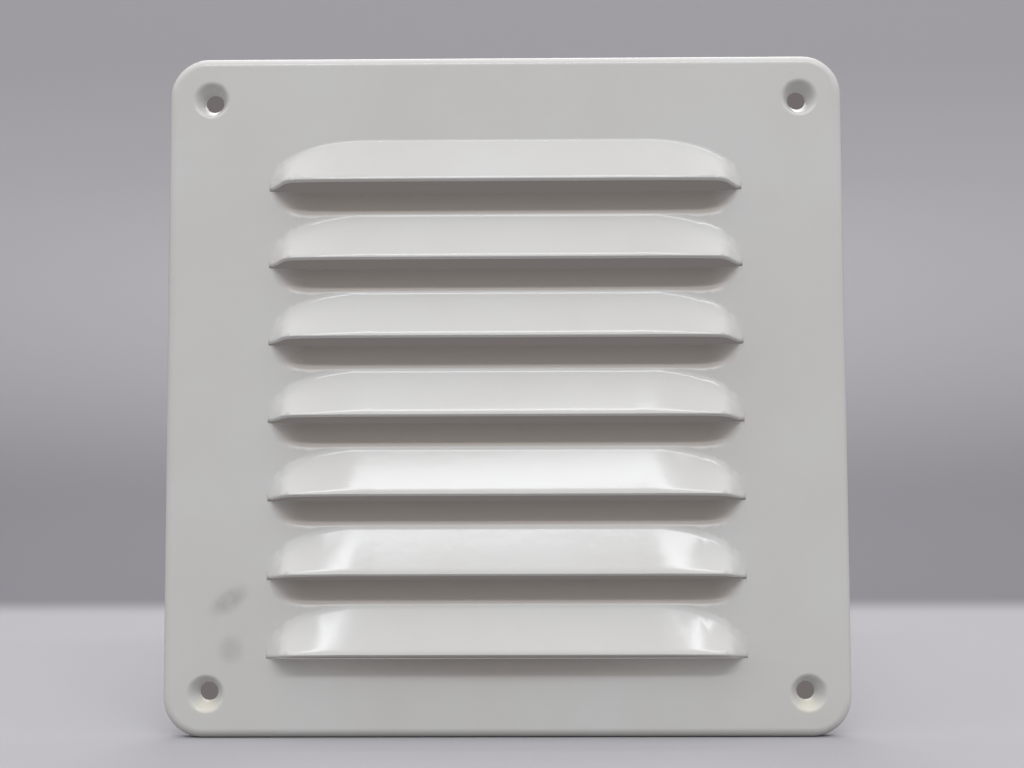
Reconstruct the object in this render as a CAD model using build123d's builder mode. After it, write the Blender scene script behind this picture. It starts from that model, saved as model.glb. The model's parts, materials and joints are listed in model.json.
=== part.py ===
from build123d import *
from math import atan2, cos, sin, tan
import os

# A ventilation grille pressed from one sheet: a square plate with its edges turned back to the wall,
# a column of louvres and a dimpled screw hole in each corner. Millimetres, front towards -Y, +Z up,
# origin at the middle of the wall plane.

# Plate and its turned-back rim
plate_width = 155.0
plate_height = 155.0
corner_radius = 9.0
sheet_thickness = 1.0
rim_depth = 4.0
edge_radius = 2.3

# Louvre field: the flat margins that the pressed slits leave around them
louvre_count = 7
top_margin = 13.4
bottom_margin = 17.7
side_margin = 23.5
slit_width = 0.4

# Hoods: each rises from a bend line above its slit to a lip that stands proud
hood_height = 4.85
hood_share = 0.645
lip_setback = 1.35
lip_run = 6.2
lip_toe = 1.8
hood_end_run = 25.0

# Strips: the sheet between a slit and the next hood is set back by a step and leans in to its free edge
crest_width = 1.0
crest_drop = 0.15
step_depth = 1.5
step_share = 0.16
tip_depth = 2.0
strip_end_run = 13.0

# Pressing at a slit's tips: shares of the full outline and relief there, and how much wider the bends are
outline_start = 0.3
pressing_start = 0.01
bend_softening = 2.4

# Screw holes, pressed into countersunk dimples that reach the wall plane
hole_inset = 10.0
hole_radius = 2.1
mouth_radius = 3.9
mouth_rounding = 1.0
hole_land = 0.9

# Sizes that follow from the ones above
louvre_pitch = (plate_height - top_margin - bottom_margin) / louvre_count
louvre_length = plate_width - 2 * side_margin
field_top = plate_height / 2 - top_margin
field_bottom = bottom_margin - plate_height / 2
hood_reach = hood_share * louvre_pitch
strip_reach = louvre_pitch - hood_reach - crest_width
bend_half = 0.45 * crest_width
edge_chamfer = 0.25 * sheet_thickness


def ease(distance, run, start=0.0, toe=1.0):
    """Share of full size at a distance from a slit's tip, from the start share there to 1 after the run.
    A toe over 1 makes it begin softly."""
    return 1 - (1 - start) * (1 - min(distance / run, 1) ** toe) ** 3


def blade_corners(distance, tipped):
    """Front corners of a blade's section, from lip to top edge, as (height above slit, outward) pairs."""
    lip_share = ease(distance, lip_run, pressing_start, lip_toe)
    lip = Vector(slit_width / 2 + lip_setback * lip_share, hood_height * lip_share)
    bend = Vector(hood_reach * ease(distance, hood_end_run, outline_start), 0)
    if not tipped:
        return [lip, bend, Vector(louvre_pitch, 0)]
    set_back = ease(distance, strip_end_run, pressing_start)
    crest = Vector(
        louvre_pitch - strip_reach * ease(distance, strip_end_run, outline_start),
        -crest_drop * set_back,
    )
    top = Vector(louvre_pitch - slit_width / 2, -tip_depth * set_back)
    foot = Vector(crest.X + step_share * (top.X - crest.X), -step_depth * set_back)
    return [lip, bend, crest, foot, top]


def back_corners(front):
    """The same corners on the back of the sheet, one thickness behind the front."""
    runs = [(end - start).normalized() for start, end in zip(front, front[1:])]
    inward = [Vector(run.Y, -run.X) for run in runs]
    inner = [
        corner + (before + after) * (sheet_thickness / (1 + before.dot(after)))
        for corner, before, after in zip(front[1:], inward, inward[1:])
    ]
    return [front[0] + inward[0] * sheet_thickness, *inner, front[-1] + inward[-1] * sheet_thickness]


def toward(start, end, length):
    """The point at a length from start on the way to end."""
    return start + (end - start).normalized() * length


def bent_line(corners, half):
    """The line's corners with each inner one cut by a flat bend that takes under half of either side."""
    bends = []
    for before, corner, after in zip(corners, corners[1:], corners[2:]):
        bends.append(toward(corner, before, min(half, 0.45 * (before - corner).length)))
        bends.append(toward(corner, after, min(half, 0.45 * (after - corner).length)))
    return [corners[0], *bends, corners[-1]]


def section_plane(x):
    """A plane across the louvres at x: its first axis points up from the slit, its second outwards."""
    return Plane(origin=(x, -rim_depth, 0), x_dir=(0, 0, 1), z_dir=(1, 0, 0))


# Blades: the sheet from one slit up to the next, with flat ends that meet the plate at the slits' tips.
# The uppermost blade runs on into the plate's top margin and the others have a free top edge.
# Sections stand closest together near the tips, where the form changes fastest.
end_steps = 10
end_stations = [hood_end_run * (step / end_steps) ** 1.5 for step in range(end_steps + 1)]
half_length = louvre_length / 2
blades = {}
for tipped in (False, True):
    with BuildPart() as blade_end:
        for from_tip in end_stations:
            front = blade_corners(from_tip, tipped)
            back = back_corners(front)
            lip_front = toward(front[0], front[1], edge_chamfer)
            lip_edge = toward(front[0], back[0], edge_chamfer)
            soft_half = bend_half * (1 + bend_softening * (1 - ease(from_tip, hood_end_run)))
            with BuildSketch(section_plane(half_length - from_tip)):
                with BuildLine():
                    Polyline(
                        *bent_line([lip_front, *front[1:]], soft_half),
                        *bent_line(back[::-1], soft_half),
                        lip_edge,
                        close=True,
                    )
                make_face()
        loft()
    with BuildPart() as blade:
        add(blade_end.part)
        mirror(blade_end.part, about=Plane.YZ)
        middle_face = blade_end.faces().sort_by(Axis.X)[0]
        extrude(middle_face, amount=louvre_length - 2 * hood_end_run, dir=(-1, 0, 0))
    blades[tipped] = blade.part

# Dimple: the sheet funnelled back to the wall plane around a screw hole
mouth_half = mouth_rounding / 2
blank_radius = mouth_radius + mouth_rounding
funnel_angle = atan2(rim_depth - hole_land, mouth_radius - hole_radius)
back_mouth = mouth_radius + sheet_thickness * tan(funnel_angle / 2)
back_land = back_mouth - (rim_depth - sheet_thickness) / tan(funnel_angle)
with BuildPart() as dimple:
    with BuildSketch(Plane.XY):
        with BuildLine():
            Polyline(
                (blank_radius, -rim_depth),
                (mouth_radius + mouth_half, -rim_depth),
                (mouth_radius - mouth_half * cos(funnel_angle), mouth_half * sin(funnel_angle) - rim_depth),
                (hole_radius, -hole_land),
                (hole_radius, 0),
                (back_land, 0),
                (back_mouth, sheet_thickness - rim_depth),
                (blank_radius, sheet_thickness - rim_depth),
                close=True,
            )
        make_face()
    revolve(axis=Axis.Y)

# Plate: the tray, opened for the louvres and the dimples, which then fill it again
hole_x = plate_width / 2 - hole_inset
hole_z = plate_height / 2 - hole_inset
with BuildPart() as grille_plate:
    with BuildSketch(Plane.XZ):
        RectangleRounded(plate_width, plate_height, corner_radius)
    extrude(amount=rim_depth)
    fillet(grille_plate.faces().sort_by(Axis.Y)[0].edges(), edge_radius)
    offset(amount=-sheet_thickness, openings=grille_plate.faces().sort_by(Axis.Y)[-1])
    with BuildSketch(Plane.XZ.offset(rim_depth)):
        with Locations((0, (field_top + field_bottom) / 2)):
            Rectangle(louvre_length, field_top - field_bottom)
        with GridLocations(2 * hole_x, 2 * hole_z, 2, 2):
            Circle(blank_radius)
    extrude(amount=-sheet_thickness, mode=Mode.SUBTRACT)
    level_edges = grille_plate.edges().filter_by(Axis.X)
    slit_edges = level_edges.filter_by_position(Axis.Z, field_bottom - slit_width, field_bottom + slit_width)
    chamfer(slit_edges, edge_chamfer)
    with Locations((0, 0, field_top - louvre_pitch)):
        add(blades[False])
    with Locations(*[(0, 0, field_bottom + number * louvre_pitch) for number in range(louvre_count - 1)]):
        add(blades[True])
    with Locations(*[(x, 0, z) for x in (-hole_x, hole_x) for z in (-hole_z, hole_z)]):
        add(dimple.part)

os.makedirs("parts", exist_ok=True)
grille_plate.part.label = "grille_plate"
export_step(grille_plate.part, "parts/grille_plate.step")
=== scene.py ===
import json
import math

import bpy
from bpy.props import FloatProperty, FloatVectorProperty, PointerProperty
from bpy.types import Operator, Panel, PropertyGroup
from mathutils import Matrix, Vector
from mathutils.bvhtree import BVHTree


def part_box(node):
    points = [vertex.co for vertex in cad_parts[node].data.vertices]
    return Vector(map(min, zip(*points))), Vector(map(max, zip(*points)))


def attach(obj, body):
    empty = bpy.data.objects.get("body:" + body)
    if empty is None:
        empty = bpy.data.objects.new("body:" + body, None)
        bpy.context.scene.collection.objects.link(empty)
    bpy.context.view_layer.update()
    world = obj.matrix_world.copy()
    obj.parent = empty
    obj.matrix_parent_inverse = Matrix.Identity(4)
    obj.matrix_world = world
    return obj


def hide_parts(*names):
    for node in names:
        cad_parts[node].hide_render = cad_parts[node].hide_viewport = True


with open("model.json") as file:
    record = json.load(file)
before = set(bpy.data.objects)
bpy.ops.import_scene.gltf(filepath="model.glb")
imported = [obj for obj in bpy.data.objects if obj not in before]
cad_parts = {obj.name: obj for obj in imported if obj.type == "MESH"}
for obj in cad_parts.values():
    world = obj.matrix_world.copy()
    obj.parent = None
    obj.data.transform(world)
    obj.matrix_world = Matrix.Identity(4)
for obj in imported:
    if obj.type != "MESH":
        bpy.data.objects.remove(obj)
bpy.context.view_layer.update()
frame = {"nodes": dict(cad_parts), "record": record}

bl_info = {
    "name": "Ventilation Grille",
    "version": (1, 0, 0),
    "blender": (4, 5, 0),
    "location": "View3D > Sidebar > Grille",
    "description": "Enamels a pressed louvre grille gloss white and sets it on a pale studio floor",
    "category": "Object",
}

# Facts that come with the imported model
MM = 0.001
PLATE = frame["nodes"]["grille_plate"]
PLATE_LOW, PLATE_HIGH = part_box("grille_plate")
SCREW_HOLES = next(mount for mount in frame["record"]["mounts"] if mount["name"] == "screw_holes")
HOLE_X = SCREW_HOLES["dims"]["spacing_x_mm"] * MM / 2
HOLE_Z = SCREW_HOLES["dims"]["spacing_y_mm"] * MM / 2


def linear(hex_colour):
    """Turn an sRGB hex colour into linear red, green and blue."""
    channels = [int(hex_colour[at:at + 2], 16) / 255 for at in (1, 3, 5)]
    return tuple(c / 12.92 if c <= 0.04045 else ((c + 0.055) / 1.055) ** 2.4 for c in channels)


def add_node(tree, kind, settings=None, inputs=None):
    """Add a node, set its own properties, and give its inputs values or links from other nodes' outputs."""
    node = tree.nodes.new(kind)
    for name, value in (settings or {}).items():
        setattr(node, name, value)
    for name, value in (inputs or {}).items():
        if isinstance(value, bpy.types.NodeSocket):
            tree.links.new(value, node.inputs[name])
        else:
            node.inputs[name].default_value = value
    return node


def empty_material(name):
    """Make a node material that holds nothing yet, and return it with its node tree."""
    material = bpy.data.materials.new(name)
    material.use_nodes = True
    material.node_tree.nodes.clear()
    return material, material.node_tree


class GrilleEnamelSettings(PropertyGroup):
    """Colours, gloss and surface texture of the enamel."""

    paint_colour: FloatVectorProperty(
        name="Paint", description="Clean enamel",
        subtype="COLOR", size=3, min=0, max=1, default=linear("#D0D0D0"),
    )
    aged_colour: FloatVectorProperty(
        name="Aged Paint", description="Enamel where it has yellowed a little",
        subtype="COLOR", size=3, min=0, max=1, default=linear("#C9C8C5"),
    )
    # Painted shade mixed with dust: set darker than dust alone, so that the recessed strips read as shaded
    dust_and_shade_colour: FloatVectorProperty(
        name="Dust", description="Dust on the strips under the hoods",
        subtype="COLOR", size=3, min=0, max=1, default=linear("#B4ADA8"),
    )
    smudge_colour: FloatVectorProperty(
        name="Smudge", description="Grey rub marks on the lower left margin",
        subtype="COLOR", size=3, min=0, max=1, default=linear("#A9A7A3"),
    )
    cream_colour: FloatVectorProperty(
        name="Cream", description="Yellowed paint in the lower screw holes",
        subtype="COLOR", size=3, min=0, max=1, default=linear("#D9D5C8"),
    )
    crease_angle: FloatProperty(
        name="Crease Angle", description="Edges sharper than this stay sharp", subtype="ANGLE",
        default=math.radians(50),
    )
    roughness: FloatProperty(
        name="Roughness", description="Roughness of the gloss",
        subtype="FACTOR", min=0, max=1, default=0.14,
    )
    dust_roughness: FloatProperty(
        name="Dust Roughness", description="Roughness of the dust",
        subtype="FACTOR", min=0, max=1, default=0.6,
    )
    lip_roll: FloatProperty(
        name="Lip Roll", description="How far the hoods' lips roll back at their cut edge",
        unit="LENGTH", default=0.1 * MM,
    )
    peel_size: FloatProperty(
        name="Orange Peel Size", description="Distance between the ripples of the sprayed paint",
        unit="LENGTH", default=2.2 * MM,
    )
    peel_depth: FloatProperty(
        name="Orange Peel Depth", description="Height of the ripples of the sprayed paint",
        unit="LENGTH", default=0.012 * MM,
    )
    wave_size: FloatProperty(
        name="Sheet Wave Size", description="Distance between the slow waves left by pressing",
        unit="LENGTH", default=24 * MM,
    )
    wave_depth: FloatProperty(
        name="Sheet Wave Depth", description="Height of the slow waves in the sheet",
        unit="LENGTH", default=0.06 * MM,
    )


class GrilleStageSettings(PropertyGroup):
    """Floor, backdrop, lights and camera."""

    floor_colour: FloatVectorProperty(
        name="Floor", description="Floor that the grille stands on",
        subtype="COLOR", size=3, min=0, max=1, default=linear("#ACABB0"),
    )
    low_backdrop_colour: FloatVectorProperty(
        name="Low Backdrop", description="Foot of the sweep that rises behind the floor",
        subtype="COLOR", size=3, min=0, max=1, default=linear("#817F85"),
    )
    high_backdrop_colour: FloatVectorProperty(
        name="High Backdrop", description="Upper part of the sweep",
        subtype="COLOR", size=3, min=0, max=1, default=linear("#B3B1B7"),
    )
    bounce_colour: FloatVectorProperty(
        name="Floor Bounce", description="What the floor throws back onto the grille",
        subtype="COLOR", size=3, min=0, max=1, default=linear("#959494"),
    )
    # Painted shade: tone of the glowing card that the slits show behind the louvres
    slit_shade_colour: FloatVectorProperty(
        name="Backing Card", description="Card close behind the louvres",
        subtype="COLOR", size=3, min=0, max=1, default=linear("#716C6A"),
    )
    studio_colour: FloatVectorProperty(
        name="Studio", description="What the camera sees past the floor's edge",
        subtype="COLOR", size=3, min=0, max=1, default=linear("#C9C8CD"),
    )
    fill_strength: FloatProperty(
        name="Fill Strength", description="Strength of the soft light from the sides",
        min=0, default=0.3,
    )
    top_strength: FloatProperty(
        name="Top Strength", description="Strength of the soft light from straight above",
        min=0, default=1.6,
    )
    fill_colour: FloatVectorProperty(
        name="Fill Colour", description="Colour of the soft light from the sides and above",
        subtype="COLOR", size=3, min=0, max=1, default=linear("#FFFDFB"),
    )
    window_colour: FloatVectorProperty(
        name="Window Colour", description="Colour of the long softbox above the camera",
        subtype="COLOR", size=3, min=0, max=1, default=linear("#F8FBFF"),
    )
    window_power: FloatProperty(
        name="Window Power", description="Power of the long softbox above the camera",
        subtype="POWER", default=13.6,
    )
    window_distance: FloatProperty(
        name="Window Distance", description="From the plate to the softbox", unit="LENGTH", default=2.0,
    )
    window_elevation: FloatProperty(
        name="Window Elevation", description="Height of the softbox above the plate's normal",
        subtype="ANGLE", default=math.radians(48.2),
    )
    window_azimuth: FloatProperty(
        name="Window Azimuth", description="Turn of the softbox to the viewer's right",
        subtype="ANGLE", default=math.radians(6.5),
    )
    window_width: FloatProperty(
        name="Window Width", description="Width of the softbox", unit="LENGTH", default=1.7,
    )
    window_height: FloatProperty(
        name="Window Height", description="Height of the softbox", unit="LENGTH", default=0.135,
    )
    back_power: FloatProperty(
        name="Back Power", description="Power of the small softbox behind the plate",
        subtype="POWER", default=1.0,
    )
    camera_place: FloatVectorProperty(
        name="Camera", description="Where the camera stands",
        subtype="TRANSLATION", size=3, default=(3.85 * MM, -281.2 * MM, -13.5 * MM),
    )
    camera_pitch: FloatProperty(
        name="Camera Pitch", description="How far the camera looks up",
        subtype="ANGLE", default=math.radians(3.16),
    )
    camera_yaw: FloatProperty(
        name="Camera Yaw", description="How far the camera turns to the right",
        subtype="ANGLE", default=math.radians(-0.5),
    )
    camera_roll: FloatProperty(
        name="Camera Roll", description="How far the camera tips to its left",
        subtype="ANGLE", default=math.radians(-0.19),
    )
    lens: FloatProperty(
        name="Lens", description="Focal length on a 36 mm wide frame",
        subtype="DISTANCE_CAMERA", default=43.03,
    )


def oval_mask(tree, place, centre, half_size, turn=0.0, strength=1.0):
    """Make a soft oval mask on the plate's face, full around its centre (x, z) and 0 past its half sizes."""
    full_reach = 0.2
    oval = add_node(tree, "ShaderNodeMapping", {"vector_type": "TEXTURE"}, {
        "Vector": place,
        "Location": (centre[0], 0, centre[1]),
        "Rotation": (0, turn, 0),
        "Scale": (half_size[0], 1, half_size[1]),
    })
    reach = add_node(tree, "ShaderNodeVectorMath", {"operation": "LENGTH"}, {0: oval.outputs["Vector"]})
    mask = add_node(tree, "ShaderNodeMapRange", {"interpolation_type": "SMOOTHSTEP"}, {
        "Value": reach.outputs["Value"], "From Min": full_reach, "From Max": 1.0,
        "To Min": strength, "To Max": 0.0,
    })
    return mask.outputs["Result"]


def gloss_white_stoved_enamel(look):
    """White stoved enamel on pressed sheet metal, sprayed and baked.

    The eye gets broad soft reflections that ripple at their edges from a faint orange peel, paint that has
    aged a little unevenly, matt dust darkened further as painted shade on the strips under the hoods and on
    a band below the lowest slit, lips that roll off at their cut edges and grey rub marks on the lower left
    margin.
    """
    material, tree = empty_material("gloss_white_stoved_enamel")
    place = add_node(tree, "ShaderNodeTexCoord").outputs["Object"]

    # Uneven yellowing of the paint, in broad clouds
    cloud_size = 35 * MM
    clean_noise, aged_noise = 0.35, 0.75
    most_aged = 0.7
    clouds = add_node(tree, "ShaderNodeTexNoise", inputs={
        "Vector": place, "Scale": 1 / cloud_size, "Detail": 4.0, "Roughness": 0.6,
    })
    ageing = add_node(tree, "ShaderNodeMapRange", inputs={
        "Value": clouds.outputs["Fac"], "From Min": clean_noise, "From Max": aged_noise,
        "To Min": 0.0, "To Max": most_aged,
    })
    colour = add_node(tree, "ShaderNodeMix", {"data_type": "RGBA"}, {
        "Factor": ageing.outputs["Result"], "A": (*look.paint_colour, 1), "B": (*look.aged_colour, 1),
    })

    # Share of front, so that dirt, stains and painted shade stay off the back
    facing_front, facing_side = -0.4, -0.1
    normal = add_node(tree, "ShaderNodeNewGeometry").outputs["Normal"]
    backward = add_node(tree, "ShaderNodeSeparateXYZ", inputs={"Vector": normal}).outputs["Y"]
    front = add_node(tree, "ShaderNodeMapRange", {"interpolation_type": "SMOOTHSTEP"}, {
        "Value": backward, "From Min": facing_front, "From Max": facing_side,
        "To Min": 1.0, "To Max": 0.0,
    }).outputs["Result"]

    # Dust and painted shade in the louvre field on what lies behind the plate's face, and just below the
    # lowest slit
    first_dust_and_shade, full_dust_and_shade = -3.99 * MM, -3.6 * MM
    below_centre, below_half_size = (0, -61.4 * MM), (64 * MM, 4.6 * MM)
    below_strength = 0.8
    along = add_node(tree, "ShaderNodeSeparateXYZ", inputs={"Vector": place}).outputs
    dust_and_shade = add_node(tree, "ShaderNodeMapRange", {"interpolation_type": "SMOOTHSTEP"}, {
        "Value": along["Y"], "From Min": first_dust_and_shade, "From Max": full_dust_and_shade,
    }).outputs["Result"]
    for axis, all_dust_and_shade, no_dust_and_shade in (("X", 46 * MM, 56 * MM), ("Z", 66 * MM, 70 * MM)):
        off_middle = add_node(tree, "ShaderNodeMath", {"operation": "ABSOLUTE"}, {0: along[axis]})
        dust_and_shade = add_node(tree, "ShaderNodeMapRange", {"interpolation_type": "SMOOTHSTEP"}, {
            "Value": off_middle.outputs["Value"], "From Min": all_dust_and_shade, "From Max": no_dust_and_shade,
            "To Min": dust_and_shade, "To Max": 0.0,
        }).outputs["Result"]
    # Painted shade with dust on a band below the lowest slit, where the plate stays flat
    dust_and_shade_below_slit = oval_mask(tree, place, below_centre, below_half_size, strength=below_strength)
    for operation, other in (("MAXIMUM", dust_and_shade_below_slit), ("MULTIPLY", front)):
        dust_and_shade = add_node(tree, "ShaderNodeMath", {"operation": operation}, {
            0: dust_and_shade, 1: other,
        }).outputs["Value"]
    # Painted shade mixed with dust: the recesses under the hoods and the band below the lowest slit darken
    colour = add_node(tree, "ShaderNodeMix", {"data_type": "RGBA"}, {
        "Factor": dust_and_shade, "A": colour.outputs["Result"], "B": (*look.dust_and_shade_colour, 1),
    })

    # Grey rub marks on the lower left margin and yellowed paint in the lower screw holes, both patchy
    speck_size = 1.6 * MM
    thin_noise, thick_noise = 0.25, 0.75
    thinnest = 0.55
    below_hole = 2.6 * MM
    hole_half_size = (4.4 * MM, 2.8 * MM)
    specks = add_node(tree, "ShaderNodeTexNoise", inputs={
        "Vector": place, "Scale": 1 / speck_size, "Detail": 3.0,
    })
    patchy = add_node(tree, "ShaderNodeMapRange", inputs={
        "Value": specks.outputs["Fac"], "From Min": thin_noise, "From Max": thick_noise,
        "To Min": thinnest, "To Max": 1.0,
    })
    broken = add_node(tree, "ShaderNodeMath", {"operation": "MULTIPLY"}, {
        0: patchy.outputs["Result"], 1: front,
    })
    for stain_colour, centre, half_size, turn, strength in (
        (look.smudge_colour, (-62.4 * MM, -46.8 * MM), (6.4 * MM, 3.2 * MM), math.radians(-34), 0.75),
        (look.smudge_colour, (-61.9 * MM, -57.7 * MM), (4.0 * MM, 4.4 * MM), 0.0, 0.5),
        (look.cream_colour, (-HOLE_X, -HOLE_Z - below_hole), hole_half_size, 0.0, 1.0),
        (look.cream_colour, (HOLE_X, -HOLE_Z - below_hole), hole_half_size, 0.0, 1.0),
    ):
        stained = add_node(tree, "ShaderNodeMath", {"operation": "MULTIPLY"}, {
            0: oval_mask(tree, place, centre, half_size, turn, strength), 1: broken.outputs["Value"],
        })
        colour = add_node(tree, "ShaderNodeMix", {"data_type": "RGBA"}, {
            "Factor": stained.outputs["Value"], "A": colour.outputs["Result"], "B": (*stain_colour, 1),
        })

    # Orange peel of the sprayed paint over the slow waves of the pressed sheet
    waves = add_node(tree, "ShaderNodeTexNoise", inputs={
        "Vector": place, "Scale": 1 / look.wave_size, "Detail": 1.0,
    })
    peel = add_node(tree, "ShaderNodeTexNoise", inputs={
        "Vector": place, "Scale": 1 / look.peel_size, "Detail": 2.0,
    })
    waved = add_node(tree, "ShaderNodeBump", inputs={
        "Height": waves.outputs["Fac"], "Distance": look.wave_depth, "Strength": 1.0,
    })
    rippled = add_node(tree, "ShaderNodeBump", inputs={
        "Height": peel.outputs["Fac"], "Distance": look.peel_depth, "Strength": 1.0,
        "Normal": waved.outputs["Normal"],
    })

    # Cut edge of each hood, which rolls back over the last millimetre and a half of the sheet
    lip_depth = 0.65 * MM
    lip_sharpness = 3.0
    near_lip = add_node(tree, "ShaderNodeMapRange", inputs={
        "Value": along["Y"], "From Min": PLATE_LOW.y + lip_depth, "From Max": PLATE_LOW.y,
    })
    rolled = add_node(tree, "ShaderNodeMath", {"operation": "POWER"}, {
        0: near_lip.outputs["Result"], 1: lip_sharpness,
    })
    lipped = add_node(tree, "ShaderNodeBump", {"invert": True}, {
        "Height": rolled.outputs["Value"], "Distance": look.lip_roll, "Strength": 1.0,
        "Normal": rippled.outputs["Normal"],
    })

    # Gloss that turns matt where the dust and painted shade lie
    refraction = 1.35
    gloss = add_node(tree, "ShaderNodeMapRange", inputs={
        "Value": dust_and_shade, "To Min": look.roughness, "To Max": look.dust_roughness,
    })
    enamel = add_node(tree, "ShaderNodeBsdfPrincipled", inputs={
        "Base Color": colour.outputs["Result"],
        "Roughness": gloss.outputs["Result"],
        "IOR": refraction,
        "Normal": lipped.outputs["Normal"],
    })
    add_node(tree, "ShaderNodeOutputMaterial", inputs={"Surface": enamel.outputs["BSDF"]})
    return material


def even_out_hood_ends(mesh):
    """Average the shading normals at the hoods' ends over what lies close by on the same side of a bend.

    The plate's flats keep their own normal right up to the bends and the screw dimples.
    """
    reach_rings = (1.2 * MM, 2.4 * MM, 3.6 * MM)
    turns = [step * math.pi / 4 for step in range(8)]
    directions = [Vector((math.cos(turn), 0, math.sin(turn))) for turn in turns]
    end_zone = (29 * MM, 54 * MM)
    fade_in = 8 * MM
    in_front = 20 * MM
    same_side = math.cos(math.radians(12))
    same_level = 0.6 * MM
    nearly_level, steepest = -0.9999, -0.3
    level = -0.99999
    key_digits = 3
    skin = BVHTree.FromPolygons(
        [vertex.co for vertex in mesh.vertices], [face.vertices for face in mesh.polygons]
    )
    normals = [corner.vector.copy() for corner in mesh.corner_normals]
    evened = {}
    for at, corner in enumerate(mesh.loops):
        point, normal = mesh.vertices[corner.vertex_index].co, normals[at]
        if not end_zone[0] < abs(point.x) < end_zone[1] or not nearly_level < normal.y < steepest:
            continue
        key = (corner.vertex_index, *(round(part, key_digits) for part in normal))
        if key not in evened:
            total = normal.copy()
            for reach in reach_rings:
                for direction in directions:
                    aside = direction * reach
                    start = Vector((point.x + aside.x, PLATE_LOW.y - in_front, point.z + aside.z))
                    place, facing, _, _ = skin.ray_cast(start, Vector((0, 1, 0)))
                    if place is None or facing.dot(normal) < same_side:
                        continue
                    if abs((place - point).dot(normal)) < same_level:
                        total += facing
            share = min((abs(point.x) - end_zone[0]) / fade_in, 1)
            evened[key] = normal.lerp(total.normalized(), share).normalized()
        normals[at] = evened[key]
    for face in mesh.polygons:
        if face.normal.y < level:
            for at in face.loop_indices:
                normals[at] = face.normal.copy()
    mesh.normals_split_custom_set(normals)


class GRILLE_OT_enamel_plate(Operator):
    """Copy the pressed plate, let light run smoothly over its bends and give it gloss white enamel"""

    bl_idname = "grille.enamel_plate"
    bl_label = "Enamel Plate"

    def execute(self, context):
        look = context.scene.grille_enamel
        merge_distance = 0.002 * MM
        flat_weight = 75
        bpy.ops.object.select_all(action="DESELECT")
        PLATE.select_set(True)
        context.view_layer.objects.active = PLATE
        bpy.ops.object.duplicate()
        sheet = context.object
        sheet.name = "enamelled_sheet"

        # One closed skin, so that a bend is shaded as one curve between the flats on both sides of it
        bpy.ops.object.mode_set(mode="EDIT")
        bpy.ops.mesh.select_all(action="SELECT")
        bpy.ops.mesh.remove_doubles(threshold=merge_distance)
        bpy.ops.object.mode_set(mode="OBJECT")
        bpy.ops.mesh.customdata_custom_splitnormals_clear()
        bpy.ops.object.shade_smooth_by_angle(angle=look.crease_angle)
        bpy.ops.object.modifier_add(type="WEIGHTED_NORMAL")
        flats_first = sheet.modifiers[-1]
        flats_first.mode = "FACE_AREA_WITH_ANGLE"
        flats_first.weight = flat_weight
        flats_first.keep_sharp = True
        bpy.ops.object.modifier_apply(modifier=flats_first.name)
        even_out_hood_ends(sheet.data)

        sheet.data.materials.clear()
        sheet.data.materials.append(gloss_white_stoved_enamel(look))
        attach(sheet, "root")
        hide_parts("grille_plate")
        return {"FINISHED"}


def matt_studio_sweep(stage):
    """Matt painted board: an even pale floor with no gloss that turns greyer well behind the plate."""
    material, tree = empty_material("matt_painted_sweep")
    place = add_node(tree, "ShaderNodeTexCoord").outputs["Object"]
    depth = add_node(tree, "ShaderNodeSeparateXYZ", inputs={"Vector": place}).outputs["Y"]
    shown = (*stage.floor_colour, 1)
    for colour, start, end in (
        (stage.low_backdrop_colour, 200 * MM, 260 * MM),
        (stage.high_backdrop_colour, 400 * MM, 630 * MM),
    ):
        reached = add_node(tree, "ShaderNodeMapRange", {"interpolation_type": "SMOOTHSTEP"}, {
            "Value": depth, "From Min": start, "From Max": end,
        })
        shown = add_node(tree, "ShaderNodeMix", {"data_type": "RGBA"}, {
            "Factor": reached.outputs["Result"], "A": shown, "B": (*colour, 1),
        }).outputs["Result"]
    seen_by_camera = add_node(tree, "ShaderNodeLightPath").outputs["Is Camera Ray"]
    colour = add_node(tree, "ShaderNodeMix", {"data_type": "RGBA"}, {
        "Factor": seen_by_camera, "A": (*stage.bounce_colour, 1), "B": shown,
    })
    board = add_node(tree, "ShaderNodeBsdfDiffuse", inputs={"Color": colour.outputs["Result"]})
    add_node(tree, "ShaderNodeOutputMaterial", inputs={"Surface": board.outputs["BSDF"]})
    return material


def glowing_slit_shade_card(stage):
    """Grey card that glows in one even tone, lit by no lamp: painted shade that the slits show behind the
    louvres.

    Only a camera in front sees it, so that the back stays open.
    """
    material, tree = empty_material("painted_slit_shade")
    # Painted shade: the card glows in this tone instead of being lit
    card = add_node(tree, "ShaderNodeEmission", inputs={"Color": (*stage.slit_shade_colour, 1)})
    clear = add_node(tree, "ShaderNodeBsdfTransparent")
    seen_by_camera = add_node(tree, "ShaderNodeLightPath").outputs["Is Camera Ray"]
    from_behind = add_node(tree, "ShaderNodeNewGeometry").outputs["Backfacing"]
    shown = add_node(tree, "ShaderNodeMath", {"operation": "SUBTRACT", "use_clamp": True}, {
        0: seen_by_camera, 1: from_behind,
    })
    surface = add_node(tree, "ShaderNodeMixShader", inputs={
        "Fac": shown.outputs["Value"], 1: clear.outputs["BSDF"], 2: card.outputs["Emission"],
    })
    add_node(tree, "ShaderNodeOutputMaterial", inputs={"Surface": surface.outputs["Shader"]})
    return material


def add_light(name, target, elevation, azimuth, distance, size, power, colour=(1, 1, 1)):
    """Hang a rectangular softbox that faces the target.

    Azimuth turns from the front to the viewer's right.
    """
    away = Vector((
        math.sin(azimuth) * math.cos(elevation),
        -math.cos(azimuth) * math.cos(elevation),
        math.sin(elevation),
    ))
    bpy.ops.object.light_add(type="AREA", location=target + away * distance)
    lamp = bpy.context.object
    lamp.name = name
    lamp.rotation_euler = away.to_track_quat("Z", "Y").to_euler()
    lamp.data.shape = "RECTANGLE"
    lamp.data.size, lamp.data.size_y = size
    lamp.data.energy = power
    lamp.data.color = colour


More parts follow.
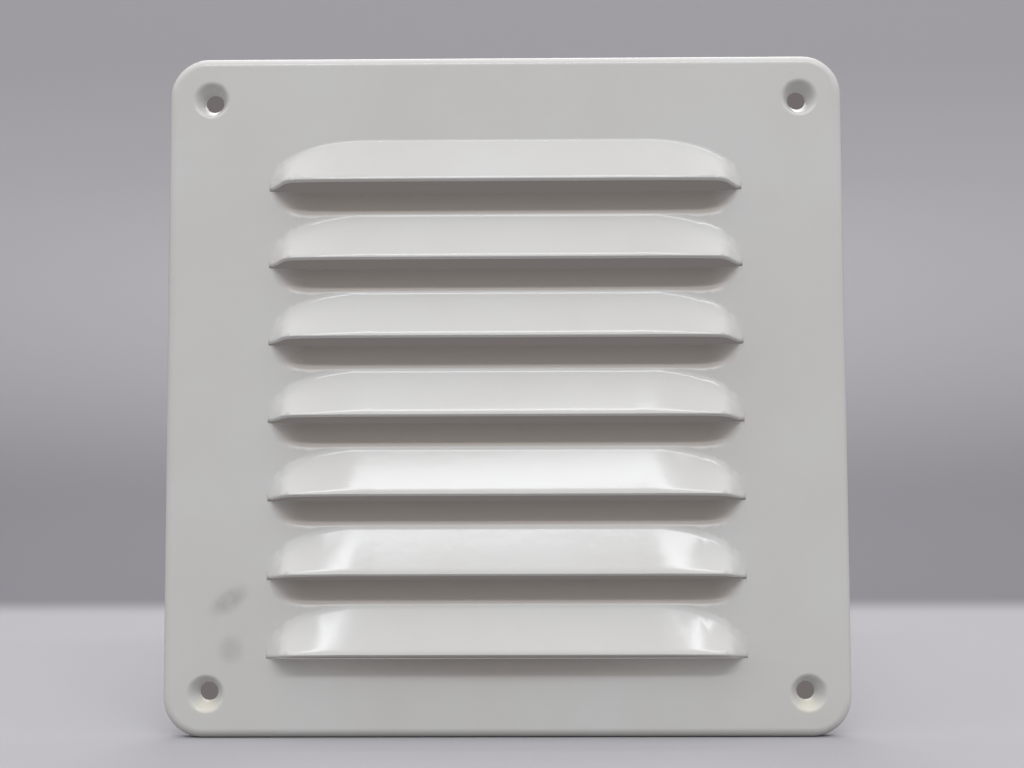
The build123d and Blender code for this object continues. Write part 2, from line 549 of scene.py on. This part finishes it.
class GRILLE_OT_set_stage(Operator):
    """Stand the grille on a pale floor with a softbox, soft fill light and the camera"""

    bl_idname = "grille.set_stage"
    bl_label = "Set Stage"

    def execute(self, context):
        stage = context.scene.grille_stage
        middle = (PLATE_LOW + PLATE_HIGH) / 2
        bpy.ops.object.select_all(action="DESELECT")

        # Floor that sweeps up into a backdrop well behind the plate
        floor_size = 3.0
        sweep_start = 0.6
        sweep_radius = 0.35
        sweep_segments = 24
        on_floor = 1 * MM
        bpy.ops.mesh.primitive_plane_add(
            size=floor_size, location=(middle.x, sweep_start - floor_size / 2, PLATE_LOW.z)
        )
        floor = context.object
        floor.name = "floor"
        bpy.ops.object.mode_set(mode="EDIT")
        bpy.ops.mesh.select_all(action="DESELECT")
        bpy.ops.object.mode_set(mode="OBJECT")
        for edge in floor.data.edges:
            edge.select = all(floor.data.vertices[at].co.y > 0 for at in edge.vertices)
        bpy.ops.object.mode_set(mode="EDIT")
        bpy.ops.mesh.select_mode(type="EDGE")
        bpy.ops.mesh.extrude_region_move(TRANSFORM_OT_translate={"value": (0, 0, floor_size / 2)})
        bpy.ops.mesh.select_all(action="DESELECT")
        bpy.ops.object.mode_set(mode="OBJECT")
        for edge in floor.data.edges:
            ends = [floor.data.vertices[at].co for at in edge.vertices]
            edge.select = all(end.y > 0 and end.z < on_floor for end in ends)
        bpy.ops.object.mode_set(mode="EDIT")
        bpy.ops.mesh.bevel(offset=sweep_radius, segments=sweep_segments)
        bpy.ops.object.mode_set(mode="OBJECT")
        bpy.ops.object.shade_smooth()
        bpy.ops.object.transform_apply(location=True, rotation=False, scale=False)
        floor.data.materials.append(matt_studio_sweep(stage))

        # Glowing card close behind the louvres, within the plate's turned-back rim: painted shade seen
        # through the slits
        card_inset = 5 * MM
        card_depth = 0.2 * MM
        bpy.ops.mesh.primitive_plane_add(
            size=PLATE_HIGH.x - PLATE_LOW.x - 2 * card_inset,
            location=(middle.x, PLATE_HIGH.y - card_depth, middle.z),
            rotation=(math.pi / 2, 0, 0),
        )
        card = context.object
        card.name = "slit_shade_card"
        card.data.materials.append(glowing_slit_shade_card(stage))

        # Window-like softbox above the camera, and a weak one for the back
        back_elevation, back_azimuth = math.radians(45), math.pi
        back_distance = 0.55
        back_size = (0.5, 0.3)
        add_light(
            "window_softbox", middle, stage.window_elevation, stage.window_azimuth, stage.window_distance,
            (stage.window_width, stage.window_height), stage.window_power, stage.window_colour,
        )
        add_light(
            "back_softbox", middle, back_elevation, back_azimuth, back_distance,
            back_size, stage.back_power,
        )

        # Soft fill that grows from the sides to the zenith, while the camera itself sees one even tone
        world = bpy.data.worlds.new("studio_fill")
        context.scene.world = world
        world.use_nodes = True
        tree = world.node_tree
        tree.nodes.clear()
        direction = add_node(tree, "ShaderNodeTexCoord").outputs["Generated"]
        upward = add_node(tree, "ShaderNodeSeparateXYZ", inputs={"Vector": direction}).outputs["Z"]
        strength = add_node(tree, "ShaderNodeMapRange", {"interpolation_type": "SMOOTHSTEP"}, {
            "Value": upward, "To Min": stage.fill_strength, "To Max": stage.top_strength,
        })
        fill = add_node(tree, "ShaderNodeBackground", inputs={
            "Color": (*stage.fill_colour, 1), "Strength": strength.outputs["Result"],
        })
        studio = add_node(tree, "ShaderNodeBackground", inputs={"Color": (*stage.studio_colour, 1)})
        shown = add_node(tree, "ShaderNodeMixShader", inputs={
            "Fac": add_node(tree, "ShaderNodeLightPath").outputs["Is Camera Ray"],
            1: fill.outputs["Background"], 2: studio.outputs["Background"],
        })
        add_node(tree, "ShaderNodeOutputWorld", inputs={"Surface": shown.outputs["Shader"]})

        # Camera at the photograph's place
        bpy.ops.object.camera_add(location=stage.camera_place)
        camera = context.object
        camera.rotation_euler = (
            Matrix.Rotation(-stage.camera_yaw, 3, "Z")
            @ Matrix.Rotation(math.pi / 2 + stage.camera_pitch, 3, "X")
            @ Matrix.Rotation(stage.camera_roll, 3, "Z")
        ).to_euler()
        camera.data.sensor_width = 36.0
        camera.data.lens = stage.lens
        camera.data.clip_start = 1 * MM
        context.scene.camera = camera
        context.scene.view_settings.view_transform = "Standard"
        return {"FINISHED"}


class GRILLE_PT_sidebar(Panel):
    """List the grille's settings and operators in the 3D view's sidebar"""

    bl_idname = "GRILLE_PT_sidebar"
    bl_label = "Ventilation Grille"
    bl_space_type = "VIEW_3D"
    bl_region_type = "UI"
    bl_category = "Grille"

    def draw(self, context):
        for settings, operator in (
            (context.scene.grille_enamel, GRILLE_OT_enamel_plate),
            (context.scene.grille_stage, GRILLE_OT_set_stage),
        ):
            column = self.layout.column(align=True)
            for name in settings.__annotations__:
                column.prop(settings, name)
            column.operator(operator.bl_idname)


CLASSES = (
    GrilleEnamelSettings,
    GrilleStageSettings,
    GRILLE_OT_enamel_plate,
    GRILLE_OT_set_stage,
    GRILLE_PT_sidebar,
)


def register():
    """Register the classes and hang the settings on the scene."""
    for each in CLASSES:
        bpy.utils.register_class(each)
    bpy.types.Scene.grille_enamel = PointerProperty(type=GrilleEnamelSettings)
    bpy.types.Scene.grille_stage = PointerProperty(type=GrilleStageSettings)


def unregister():
    """Take the settings and the classes away again."""
    del bpy.types.Scene.grille_stage
    del bpy.types.Scene.grille_enamel
    for each in reversed(CLASSES):
        bpy.utils.unregister_class(each)


def main():
    register()
    bpy.ops.grille.enamel_plate()
    bpy.ops.grille.set_stage()


if __name__ == "__main__":
    main()
